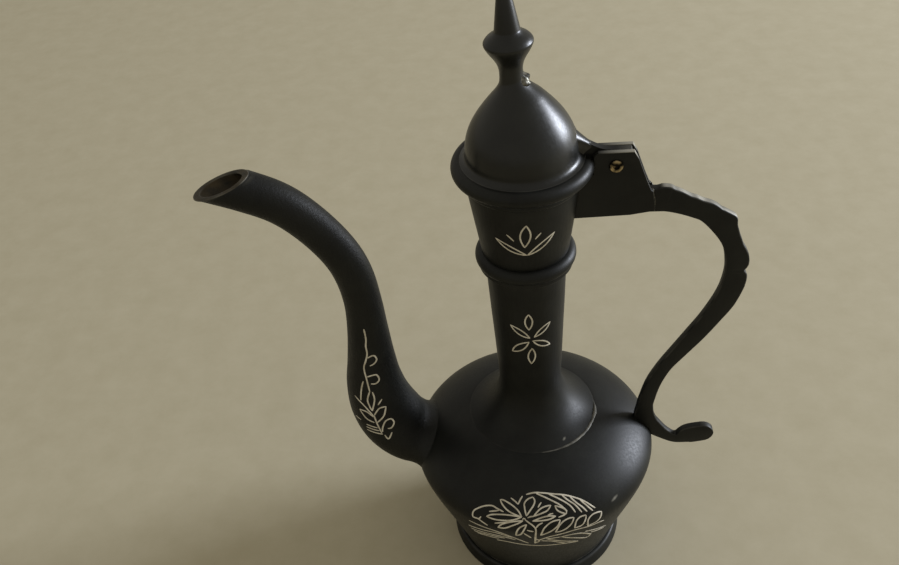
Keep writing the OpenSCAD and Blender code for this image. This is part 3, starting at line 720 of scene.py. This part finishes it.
# %% Pin
PIN_HALF, HEAD_R, HEAD_T, DIMPLE_R, DIMPLE_Z = 2.55, 1.9, 0.5, 0.72, 2.75
HEAD_Z = PIN_HALF + HEAD_T
half_pin = [(DIMPLE_R, DIMPLE_Z), (DIMPLE_R + 0.15, HEAD_Z), (HEAD_R - 0.25, HEAD_Z),
            (HEAD_R, PIN_HALF + HEAD_T / 2), (HEAD_R, PIN_HALF), (PIN_D / 2, PIN_HALF)]
pin_loop = [(0, -DIMPLE_Z), *[(r, -z) for r, z in half_pin], *half_pin[::-1], (0, DIMPLE_Z)]
points, faces = turned(pin_loop)
points = [(PIN_X + x, -z, PIN_Z + y) for x, y, z in points]
made = piece("hinge_pin_peened", points, faces, ["hinge_pin"], brass, slot="brass_pin")
# The dimple of the peened end is full of dirt, and the brass shows as a broken ring
RING_IN, RING_OUT = 1.35, 1.6
from_axis = np.array([math.hypot(x - PIN_X, z - PIN_Z) for x, y, z in points])
caked = np.clip((RING_IN - from_axis) / 0.3, 0, 1) + np.clip((from_axis - RING_OUT) / 0.2, 0, 1)
broken = np.array([0.35 + 1.9 * noise.noise(Vector(p) / 1.3) for p in points])
write_mark(made.data, "grime", np.clip(caked + broken, 0, 1))

# %% [markdown]
# ## The lid
# The dome was soldered on its rolled rim with a slight lean towards the spout, and the finial a
# little off the dome's middle. The rim's CAD solid, with its notch for the hinge, already has the
# right shape, so it stays and only gets its finish. So does the plate under the belly.

# %% Rim and base plate keep their solids
for kept in ("lid_rim", "base_plate"):
    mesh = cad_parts[kept].data
    mesh.materials.clear()
    mesh.materials.append(black)
print("kept from CAD: lid_rim, base_plate")

# %% The dome's outline
DECK_Z, DOME_TOP, DOME_R, CROWN_R, DOME_WALL = 149.3, 169.4, 14.7, 5, 1.8
FOOT_FLARE, FLARE_H = 1.7, 2.21
STEM_R, STEM_UP, STEM_OFF, RUN_FROM = 3, 3.7, 0.8, 6.6
FLARE_Z, STEM_Z = DECK_Z + FLARE_H, DOME_TOP + STEM_UP
foot_curve = bezier((DOME_R + FOOT_FLARE, DECK_Z), (DOME_R + 0.68, DECK_Z + 0.33), (DOME_R, DECK_Z + 0.88),
                    (DOME_R, FLARE_Z), 12)
dome = bezier((DOME_R, FLARE_Z), (DOME_R, DECK_Z + 8.442), (11.5, DECK_Z + 12.864), (CROWN_R, DOME_TOP), 36)
dome_in = dome - DOME_WALL * np.c_[np.ones(37), np.arange(37) / 36]
# The upper end runs up the finial's stem, which stands a little off the dome's middle
lower = dome[dome[:, 0] > RUN_FROM]
top = lower[-1]
climb = (top - lower[-2]) / np.linalg.norm(top - lower[-2])
run_up = bezier(top, top + climb * 2.3, (STEM_R + 0.1, DOME_TOP + 1.3), (STEM_R - 0.1, STEM_Z), 16)
dome_loop = [*foot_curve[:-1], *lower, *run_up[1:], (0, STEM_Z), (0, dome_in[-1][1]), *dome_in[::-1],
             (DOME_R - DOME_WALL, DECK_Z)]
print(f"the dome's outline has {len(dome_loop)} points")

# %% Dome
LEAN, LEAN_FULL = math.radians(-2.2), 4
deck = Matrix.Translation((0, 0, DECK_Z))
lean = deck @ Matrix.Rotation(LEAN, 4, "Y") @ deck.inverted()


def ease(t):
    """A share that starts and stops gently."""
    return t * t * (3 - 2 * t)


# The foot lies flat on the rim, and the lean comes in over the next few millimetres
points, faces = turned(dome_loop)
leaning = []
for x, y, z in points:
    off = ease(np.clip((z - top[1]) / (STEM_Z - top[1]), 0, 1))
    spot = Vector((x - STEM_OFF * off, y, z))
    leaning.append(spot.lerp(lean @ spot, ease(min(1, (z - DECK_Z) / LEAN_FULL))))
piece("lid_dome_cast", leaning, faces, ["lid_dome"], black_polished, "lid", most=0.1)

# %% Finial
FINIAL_H, KNOB_R, STEM_FLARE, FINIAL_LEAN = 34, 6.2, 1.2, math.radians(-0.6)
STEM_H, KNOB_H, SPIRE_H, SPIRE_R, TIP_R = 4.641, 12.325, 15.674, 3.27, 0.5
set_on = lean @ Matrix.Translation((-STEM_OFF, 0, DOME_TOP)) @ Matrix.Rotation(FINIAL_LEAN, 4, "Y")
flare = bezier((STEM_R + STEM_FLARE, 0), (STEM_R + 0.42, 0.928), (STEM_R, 2.32), (STEM_R, STEM_H), 12)
under = bezier((STEM_R, STEM_H + 0.6), (STEM_R + 0.3, 8.483), (KNOB_R - 1.2, 9.405), (KNOB_R, KNOB_H), 14)
above = bezier((KNOB_R, KNOB_H + 0.5), (KNOB_R - 0.8, KNOB_H + 2), (SPIRE_R + 1, 14.334),
               (SPIRE_R, SPIRE_H), 14)
tip = [(TIP_R, FINIAL_H - TIP_R), (TIP_R * 0.6, FINIAL_H - TIP_R * 0.25), (0, FINIAL_H)]
finial = softened([(0, -0.1), (STEM_R + STEM_FLARE, -0.1), *flare, *under, *above, *tip], 0.25)
points, faces = turned(finial)
piece("finial_turned", [set_on @ Vector(p) for p in points], faces, ["finial"], black_polished, "lid")

# %% [markdown]
# ## Solder
# The joints were never cleaned up. Solder lies in a bright lump beside the finial's stem, on the side
# of the hinge, along the tongue's root on the dome, at the ends of the cheeks and in the seam round
# the skirt. Each is a small form whose thickness wanders with noise, as a run of molten metal does.

# %% The lump beside the stem
# Its outline hides inside the stem's flare, and swells towards the hinge
LUMP_H = 4.2
lump_side = bezier((3.95, 0.05), (3.2, 0.9), (2.8, 2.4), (2.8, LUMP_H), 16)
points, faces = turned([(0, -0.1), (4, -0.1), *lump_side, (0, LUMP_H)])
lumpy = []
for p in points:
    spot = Vector(p)
    reach = max(spot.xy.length, 1e-6)
    toward_hinge = max(0, spot.x / reach - 0.6) / 0.4
    belly_out = math.sin(math.pi * min(1, max(0, spot.z / LUMP_H)))
    bulge = toward_hinge * belly_out * (1.4 + 1.2 * noise.noise(spot / 1.1))
    swell = 1 + max(0, bulge) / reach * min(1, reach / 2)
    lumpy.append(set_on @ Vector((spot.x * swell, spot.y * swell, spot.z)))
piece("finial_solder_lump", lumpy, faces, ["finial_solder"], solder, "lid", "grey_solder", corner=80)

# %% Runs of solder on the tongue
RUN_SIDES = 10


def run_of_solder(name, path, radii, body, closed=False, material=solder):
    """A round run along a path whose thickness wanders."""
    path = np.array(path, float)
    if closed:
        way = np.roll(path, -1, axis=0) - np.roll(path, 1, axis=0)
    else:
        way = np.gradient(path, axis=0)
    rings = []
    for place, heading, radius in zip(path, way, radii):
        upright = abs(heading[2]) > 0.9 * np.linalg.norm(heading)
        place, heading = Vector(place), Vector(heading)
        one = (heading.orthogonal() if upright else heading.cross(Vector((0, 0, 1)))).normalized()
        two = heading.normalized().cross(one)
        rings.append([])
        for k in range(RUN_SIDES):
            a = 2 * math.pi * k / RUN_SIDES
            spot = place + float(radius) * (math.cos(a) * one + math.sin(a) * two)
            lump = 1 + 0.3 * noise.noise(spot / 1.1)
            rings[-1].append(place + (spot - place) * lump)
    return piece(name, *skin_over(rings, closed), (), material, body, "grey_solder", corner=80)


for side_name, sign in FRONT_BACK:
    heights = np.linspace(149.5, 156.6, 16)
    reach = np.interp(heights, dome[:, 1], dome[:, 0]) - 0.1
    path = [(r - 0.04 * (z - DECK_Z), sign * 1.05, z) for r, z in zip(reach, heights)]
    run_of_solder(f"tongue_solder_{side_name}", path, 0.55 - 0.02 * np.arange(16), "lid")
# The tongue's root was filled with solder, filed to a saddle and blackened with the rest
SADDLE_FROM, SADDLE_TO, SADDLE_LOW = 11.8, 17.7, 149.4
sections = []
for x in np.linspace(SADDLE_FROM, SADDLE_TO, 24):
    near = (SADDLE_TO - x) / (SADDLE_TO - SADDLE_FROM)
    wide = 1.1 + 1.6 * near + 1.6 * near ** 3
    crest = np.interp(x, arm[::-1, 0], arm[::-1, 1]) + 0.1 + 0.9 * near
    arch = [(x, -wide * math.cos(a), crest - 0.6 * wide * (1 - math.sin(a)))
            for a in np.linspace(0, math.pi, 25)]
    sections.append(arch + [(x, 0.6 * wide, SADDLE_LOW), (x, -0.6 * wide, SADDLE_LOW)])
saddle = skin_over(sections, closed=False)
piece("tongue_root_saddle", *saddle, (), black_polished, "lid", corner=60, most=0.3)

# %% Solder on the cheeks and round the skirt
for side_name, sign in FRONT_BACK:
    path = smooth([(34.35, sign * 1.3, 130.9), (34.4, sign * 1.35, 133.2), (33.95, sign * 1.35, 136.6),
                   (33.7, sign * 1.3, 138)], 6)
    run_of_solder(f"cheek_solder_{side_name}", path, 0.3 + 0.1 * np.sin(np.arange(len(path))), "vessel")
# The seam is filed flush and blackened. Its right-hand stretch is thicker, worn pale, and ends in a spill.
SEAM_R, SEAM_Z, SPILL_AT = 19.4, 54.86, -7
round_seam = np.linspace(-math.pi, math.pi, 240, endpoint=False)
bearing = np.degrees(round_seam)
pale = np.interp(bearing, (-100, -70, -50, -12, 0, 40), (0, 0.6, 1, 1, 0.35, 0))
spill = 0.22 * np.exp(-((bearing - SPILL_AT) / 8) ** 2)
reach = SEAM_R + 0.3 * pale + spill
ring = np.c_[reach * np.cos(round_seam), reach * np.sin(round_seam), SEAM_Z - 0.1 * pale]
made = run_of_solder("skirt_seam", ring, 0.11 + 0.37 * pale + spill, "vessel", closed=True, material=black)
patchy = np.array([0.6 + 0.5 * noise.noise(Vector(p) / 2.5) for p in ring])
write_mark(made.data, "wear_and_highlight", np.repeat(np.clip(0.5 * pale * patchy, 0, 0.4), RUN_SIDES))
write_mark(made.data, "grime", np.zeros(len(made.data.vertices)))

# %% [markdown]
# ## Silver wire
# The ornament is a common one: a lotus on the cup, a six-petalled flower on the neck, a vine on the
# spout and a medallion of leaves on the belly. The wire could be an image, but it has to hold up
# close and from any side, so each stroke is a thin closed strip laid on the metal: its line is drawn
# in millimetres on the unrolled surface, smoothed, and wrapped round the piece that carries it.
# The photograph shows the front only. The back carries the same ornament, turned round.

# %% Strokes of wire
WIRE_UP, WIRE_DOWN, WIRE_STEPS, NUDGE = 0.035, 0.15, 7, 0.01
WIRE_SECTION = ((-1, -WIRE_DOWN), (-1, WIRE_UP / 2), (-0.6, WIRE_UP),
                (0.6, WIRE_UP), (1, WIRE_UP / 2), (1, -WIRE_DOWN))


def stroke(line, surface, widths):
    """Points and faces of one strip of wire on a surface, as wide as a table of heights says."""
    flat = smooth(line, WIRE_STEPS)
    at = np.array([surface(a, z) for a, z in flat])
    side = np.array([surface(a + NUDGE, z) for a, z in flat]) - at
    rise = np.array([surface(a, z + NUDGE) for a, z in flat]) - at
    up = unit(np.cross(side, rise))
    across = unit(np.cross(up, np.gradient(at, axis=0)))
    run = far_along(at)
    ends = np.minimum(run, run[-1] - run)
    half = np.interp(flat[:, 1], *zip(*widths)) / 2 * (0.6 + 0.4 * np.clip(ends / 0.8, 0, 1))
    rings = [[at[i] + across[i] * half[i] * u + up[i] * v for u, v in WIRE_SECTION] for i in range(len(at))]
    return skin_over(rings, closed=False)


def inlay(name, lines, surface, widths=((0, 0.43), (200, 0.43))):
    """All strokes of one ornament as one piece."""
    points, faces = [], []
    for line in lines:
        more, joined = stroke(line, surface, widths)
        faces += [[i + len(points) for i in face] for face in joined]
        points += more
    return piece(name, points, faces, (), silver, slot=None, corner=60, most=0)


print("the wire stands", WIRE_UP, "mm proud")

# %% Lotus on the cup and flower on the neck
CUP_UNROLL, NECK_UNROLL = 14, 10.2
profile = np.vstack([outside, outside_neck[1:], [(12.2, 120.2), (15.3, 142.2)]])


def leaf(base, tip, width, bend=0):
    """Two strokes from a leaf's base to its tip."""
    base, tip = np.array(base, float), np.array(tip, float)
    side = np.array((-(tip - base)[1], (tip - base)[0])) / np.linalg.norm(tip - base)
    shares = ((0, 0), (0.25, 0.72), (0.5, 1), (0.75, 0.75), (1, 0))
    return [[tuple(base + (tip - base) * t + side * (width / 2 * w * sign + bend * w)) for t, w in shares]
            for sign in (-1, 1)]


def wrapped(unroll, sign):
    """The turned pieces' surface, turned half round for the back: across in mm at a radius, and height."""
    def surface(across, height):
        a = across / unroll + math.pi * (sign > 0)
        r = np.interp(height, profile[:, 1], profile[:, 0])
        spot = np.array((r * math.sin(a), -r * math.cos(a), height))
        return spot * np.array(((r - uneven(spot)) / r,) * 2 + (1,))
    return surface


lotus = [*leaf((-0.2, 129.5), (0.4, 137.5), 2.7), *leaf((0.3, 126.6), (-8.3, 131.6), 1.5, 0.35),
         *leaf((0.5, 126.6), (8.2, 133), 1.6, -0.3),
         [(-4.8, 133.9), (-3.9, 132.9), (-3, 131.8)], [(4.2, 134.2), (3.4, 133.3), (2.7, 132.3)]]
petals = [((0.1, 97.4), (0.1, 103.6), 2), ((1.5, 94.4), (6.3, 98.8), 1.6), ((1, 93), (6.4, 89.6), 1.9),
          ((0.8, 89.9), (0.5, 83.4), 2.1), ((0, 92.6), (-5.2, 87.8), 2.2), ((0.3, 94.1), (-5.1, 98.6), 1.7)]
flower = [line for petal in petals for line in leaf(*petal)]
for side_name, sign in FRONT_BACK:
    inlay(f"cup_lotus_{side_name}", lotus, wrapped(CUP_UNROLL, sign))
    inlay(f"neck_flower_{side_name}", flower, wrapped(NECK_UNROLL, sign))

# %% Vine on the spout
VINE_FROM, VINE_TO = 2 * SPOUT_KNOT, 11 * SPOUT_KNOT


def on_spout(sign):
    """The spout's surface: across in millimetres from its middle, and height."""
    def surface(across, height):
        a = -across / spout_run[:, 2]
        line = spout_line(np.sin(a), sign * np.cos(a))[VINE_FROM:VINE_TO]
        return np.array([np.interp(height, line[:, 2], line[:, n]) for n in range(2)] + [height])
    return surface


vine = [
    [(0, 95.5), (0.2, 91.7), (-0.1, 89), (0, 86), (-0.6, 83.5), (-1.4, 80.7), (-1, 76.8), (-0.3, 71.8)],
    [(0, 84.5), (1.4, 85.2), (2.3, 84.8), (2.7, 83.3), (1.8, 82.1), (0.5, 81.5)],
    [(-0.7, 77.3), (0.8, 77.8), (2.3, 77.7), (2.9, 75.7), (1.8, 74.6), (0.3, 74.7)],
    [(-2.1, 75.5), (-2.9, 72.6), (-3.8, 67.8)], [(-0.3, 71.8), (-1.4, 68.6), (-1.2, 66.1), (-0.7, 64.3)],
    [(0.5, 71.6), (0.8, 68.6), (-0.7, 64.3)], [(-6, 68.7), (-3.1, 66.1), (-0.8, 62.4)],
    [(-0.6, 62.4), (-0.7, 58.2), (-0.9, 55.2)], [(-5.2, 63.8), (-3.6, 60.8), (-1.4, 59.6)],
    [(-5.2, 63.8), (-2.8, 63.7), (-0.9, 61.9)], [(-0.5, 62.6), (1.6, 65.1), (3.8, 65.3)],
    [(3.8, 65.3), (2.4, 62.2), (-0.4, 59.7)], [(3.1, 68.4), (1.5, 66.5)],
    [(-0.4, 55.8), (0.4, 57.6), (2.2, 60), (4.1, 60.4), (4.4, 58.8), (2.9, 57.2), (1.7, 57.1)],
    [(-8.6, 59.3), (-6.3, 59)], [(-4.6, 58), (-1.2, 57.4)], [(-5.2, 56.7), (-1.2, 56.2)],
    [(-5.7, 55.3), (-0.8, 54.8)], [(-0.4, 54.5), (-0.2, 52.8), (2.2, 55.4)]]
for side_name, sign in FRONT_BACK:
    inlay(f"spout_vine_{side_name}", vine, on_spout(sign), ((50, 0.48), (100, 0.48)))

# %% Medallion on the belly
medallion = [
    [(-12.1, 48.4), (-10.6, 48.4), (-7.9, 47.8), (-5.7, 46.8), (-4.4, 45.4)],
    [(-12.1, 48.4), (-11, 47.5), (-9, 46.5), (-6.9, 45.9), (-4.4, 45.4)],
    [(-0.8, 49.6), (-2.6, 49.2), (-3.7, 48.4), (-3.6, 47.5), (-3, 45.7)],
    [(-0.8, 49.6), (-0.2, 48.9), (-0.7, 48), (-1.8, 47), (-3, 45.7)],
    [(5.1, 47.9), (2.9, 47.7), (1.1, 47.1), (-0.8, 45.7)],
    [(5.1, 47.9), (3.8, 46.9), (2.1, 46.4), (-0.8, 45.7)],
    [(6.2, 45.4), (4, 45.6), (1.6, 45.3), (-1.1, 44.5)],
    [(6.2, 45.4), (4.2, 44.8), (1.9, 44.6), (-1.1, 44.5)], [(-2.6, 45.3), (-1.6, 45.6), (-0.5, 45.7)],
    [(-15.6, 43.6), (-13.9, 44.6), (-10.6, 45.3), (-7.2, 45.5), (-4.4, 45.4)],
    [(-15.6, 43.6), (-12.7, 43.5), (-9.4, 43.9), (-6.8, 44.5), (-4.4, 45.4)],
    [(-11.7, 40.9), (-10.6, 42.4), (-8.7, 43.4), (-6.4, 44.1), (-4, 44.5)],
    [(-11.7, 40.9), (-9.6, 41.3), (-7.4, 42.6), (-5.5, 43.6), (-4, 44.5)],
    [(-12.7, 42.3), (-10.3, 43.1), (-7.1, 44.1)], [(-6.3, 38.2), (-5.8, 40.9), (-4.8, 42.5), (-2.9, 43.5)],
    [(-6.3, 38.2), (-4.9, 39.1), (-3.8, 41.4), (-2.9, 43.5)], [(-8.5, 49.1), (-6.9, 48.6), (-5.8, 48.1)],
    [(-5.8, 48.1), (-5.2, 49), (-4.5, 49.7)], [(-4.2, 44.8), (-3.7, 45.1), (-3.2, 44.8)],
    [(-3.4, 44.8), (-2.3, 44.1), (-1, 43.2), (-0.2, 42), (-0.3, 39.2), (-0.6, 32.6)],
    [(-0.4, 36.4), (0.8, 34.7), (-0.6, 32.6)], [(-0.2, 42.3), (0.7, 43.4), (2, 44)],
    [(-2.8, 41.6), (-1.9, 41.3), (-0.9, 41.1)], [(-3.8, 40.1), (-2.7, 38.7), (-1.7, 37.2)],
    [(0.8, 47.6), (1.3, 48.1), (2, 48.6)], [(3.7, 45.8), (4.5, 46), (5.5, 46.1)],
    [(6.4, 47.7), (6.8, 46.8), (7.9, 46.1), (9.6, 45.5)],
    [(6.4, 47.7), (8.4, 47.1), (9.7, 46.3), (9.6, 45.5)], [(9.6, 45.5), (8.2, 45.2), (7, 45)],
    [(-3.2, 50), (-0.8, 50.3), (1.5, 50.3), (5.3, 50), (10.4, 49.3), (14.3, 48.1), (16.9, 46.6),
     (19.1, 44.5)],
    [(0.4, 50.2), (3.3, 49.5), (6, 48.6), (8.2, 47.6), (10, 46.1)],
    [(4.7, 50), (7.3, 49.2), (9.8, 48.1), (11.5, 46.9), (12.5, 45.3)],
    [(9.3, 49.5), (11, 48.3), (12.7, 47.2), (13.7, 46.1), (14.5, 44.8)],
    [(12, 48.8), (13.5, 47.4), (15.1, 46), (16.2, 44.5)], [(15.1, 47.6), (16.6, 46), (18.1, 44.1)],
    [(-15, 40.5), (-16.9, 41.3), (-18.3, 41.8), (-19.8, 41.7), (-20.2, 42.6), (-19.9, 43.9), (-18.7, 45),
     (-16.8, 46.1), (-14.4, 46.7), (-12.5, 46.4), (-10.3, 46)],
    [(-14.9, 45.2), (-13.2, 45.7), (-11.8, 46.1)], [(-17.3, 43), (-17.7, 42.2), (-18.3, 41.8)],
    [(0.6, 35.3), (3.9, 37.6), (7.8, 38.6), (12, 39.2), (17, 38.3), (19.6, 38.1), (21.9, 37.4)],
    [(1.2, 39), (2.1, 41.9), (3.7, 43.5), (5.4, 44.2), (7.4, 44.3)],
    [(7.4, 44.3), (6.6, 42.8), (4.9, 41.3), (3, 40.1), (1.2, 39)],
    [(5.6, 40.2), (6.8, 42.4), (8.3, 43.7), (10, 44.2), (11.7, 44.1)],
    [(11.7, 44.1), (10.8, 42.6), (9, 41.1), (7.2, 40.3), (5.6, 40.2)],
    [(11.5, 40.4), (12.1, 42.6), (13.5, 43.7), (15.6, 43.7)],
    [(15.6, 43.7), (15.1, 42.3), (13.8, 40.7), (11.5, 40.4)],
    [(15.9, 39), (15.9, 41.7), (17.4, 43), (19.3, 43.1), (20.8, 42.7)],
    [(20.8, 42.7), (20.2, 40.9), (18.8, 39.5), (15.9, 39)],
    [(7.6, 36.3), (10.6, 36.3), (14.3, 34.9), (18.8, 29.9)],
    [(18.8, 29.9), (17.5, 28.2), (12.9, 31.9), (9.4, 34.7), (7.6, 36.3)],
    [(15.5, 35.2), (19.6, 33), (24.8, 30)], [(18.2, 32.1), (21.1, 30.5), (24.3, 29.1)],
    [(2.8, 36.1), (5.3, 36.2), (7.6, 36.3)], [(1.4, 34.7), (5.1, 33.4), (10, 28.9)],
    [(3.3, 35.8), (7.5, 32.8), (14.4, 27.7)],
    [(-21.7, 38.5), (-17.3, 38.5), (-12.1, 38.3), (-7.4, 36.3), (-2.7, 32.5)],
    [(-23.4, 33.1), (-18, 35.4), (-12.3, 37), (-7.8, 35.9)],
    [(-23.3, 30.9), (-16.4, 34), (-10.9, 35.2), (-6.7, 34.5)], [(-22.4, 29.7), (-15.5, 33), (-10.3, 34.1)],
    [(-21.1, 29.3), (-16.7, 31.2), (-12.4, 32.4)],
    [(-13.5, 30.4), (-10.4, 31.2), (-7.6, 31.1), (-4.5, 30.8), (-1, 30.3), (2.4, 30.1), (5.6, 29.9),
     (9.6, 29.2), (14.4, 27.5)]]
for side_name, sign in FRONT_BACK:
    inlay(f"belly_medallion_{side_name}", medallion, wrapped(BELLY_R, sign), ((38, 0.6), (43, 0.44)))

# %% [markdown]
# ## Floor and light
# The ewer stands on pale paper near a window. A broad lamp on the right, a little behind, takes the
# window's place, and a dim warm sky stands for the light that the room sends back.
# Together they light the floor at about the level at which a colour renders as it is written.

# %% Floor
FLOOR = 3
paper, tree, shader, place = new_finish("pale_paper_handmade")
fibres = add(tree, "TexNoise", {"Vector": place, "Scale": per_mm(12), "Detail": 6, "Roughness": 0.65})
tone = add(tree, "Mix", {0: fibres.outputs["Fac"], MIX_A: linear("bdb59d"), MIX_B: linear("aca389")},
           data_type="RGBA")
plug(tree, shader, {"Base Color": tone.outputs[MIX_OUT], "Roughness": 0.85, "Specular IOR Level": 0.2})
mesh = bpy.data.meshes.new("paper_floor")
corners = ((-1, -1), (1, -1), (1, 1), (-1, 1))
mesh.from_pydata([(x * FLOOR, y * FLOOR, 0) for x, y in corners], [], [[0, 1, 2, 3]])
mesh.materials.append(paper)
floor = bpy.data.objects.new("paper_floor", mesh)
scene.collection.objects.link(floor)

# %% Window and sky
WINDOW_AT, WINDOW_AIM = Vector((2.06, 0.67, 0.6)), Vector((0, 0.1, 0.05))
light = bpy.data.lights.new("window", "AREA")
light.shape = "RECTANGLE"
light.size = 0.75
light.size_y = 0.85
light.energy = 83
light.color = linear("e8eefa")[:3]
window = bpy.data.objects.new("window", light)
window.location = WINDOW_AT
window.rotation_euler = (WINDOW_AIM - WINDOW_AT).to_track_quat("-Z", "Y").to_euler()
scene.collection.objects.link(window)
sky = bpy.data.worlds.new("room")
sky.use_nodes = True
plug(sky.node_tree, sky.node_tree.nodes["Background"], {"Color": linear("d6d1c4"), "Strength": 0.66})
scene.world = sky
print(f"the window is {(WINDOW_AIM - WINDOW_AT).length:.1f} m away")
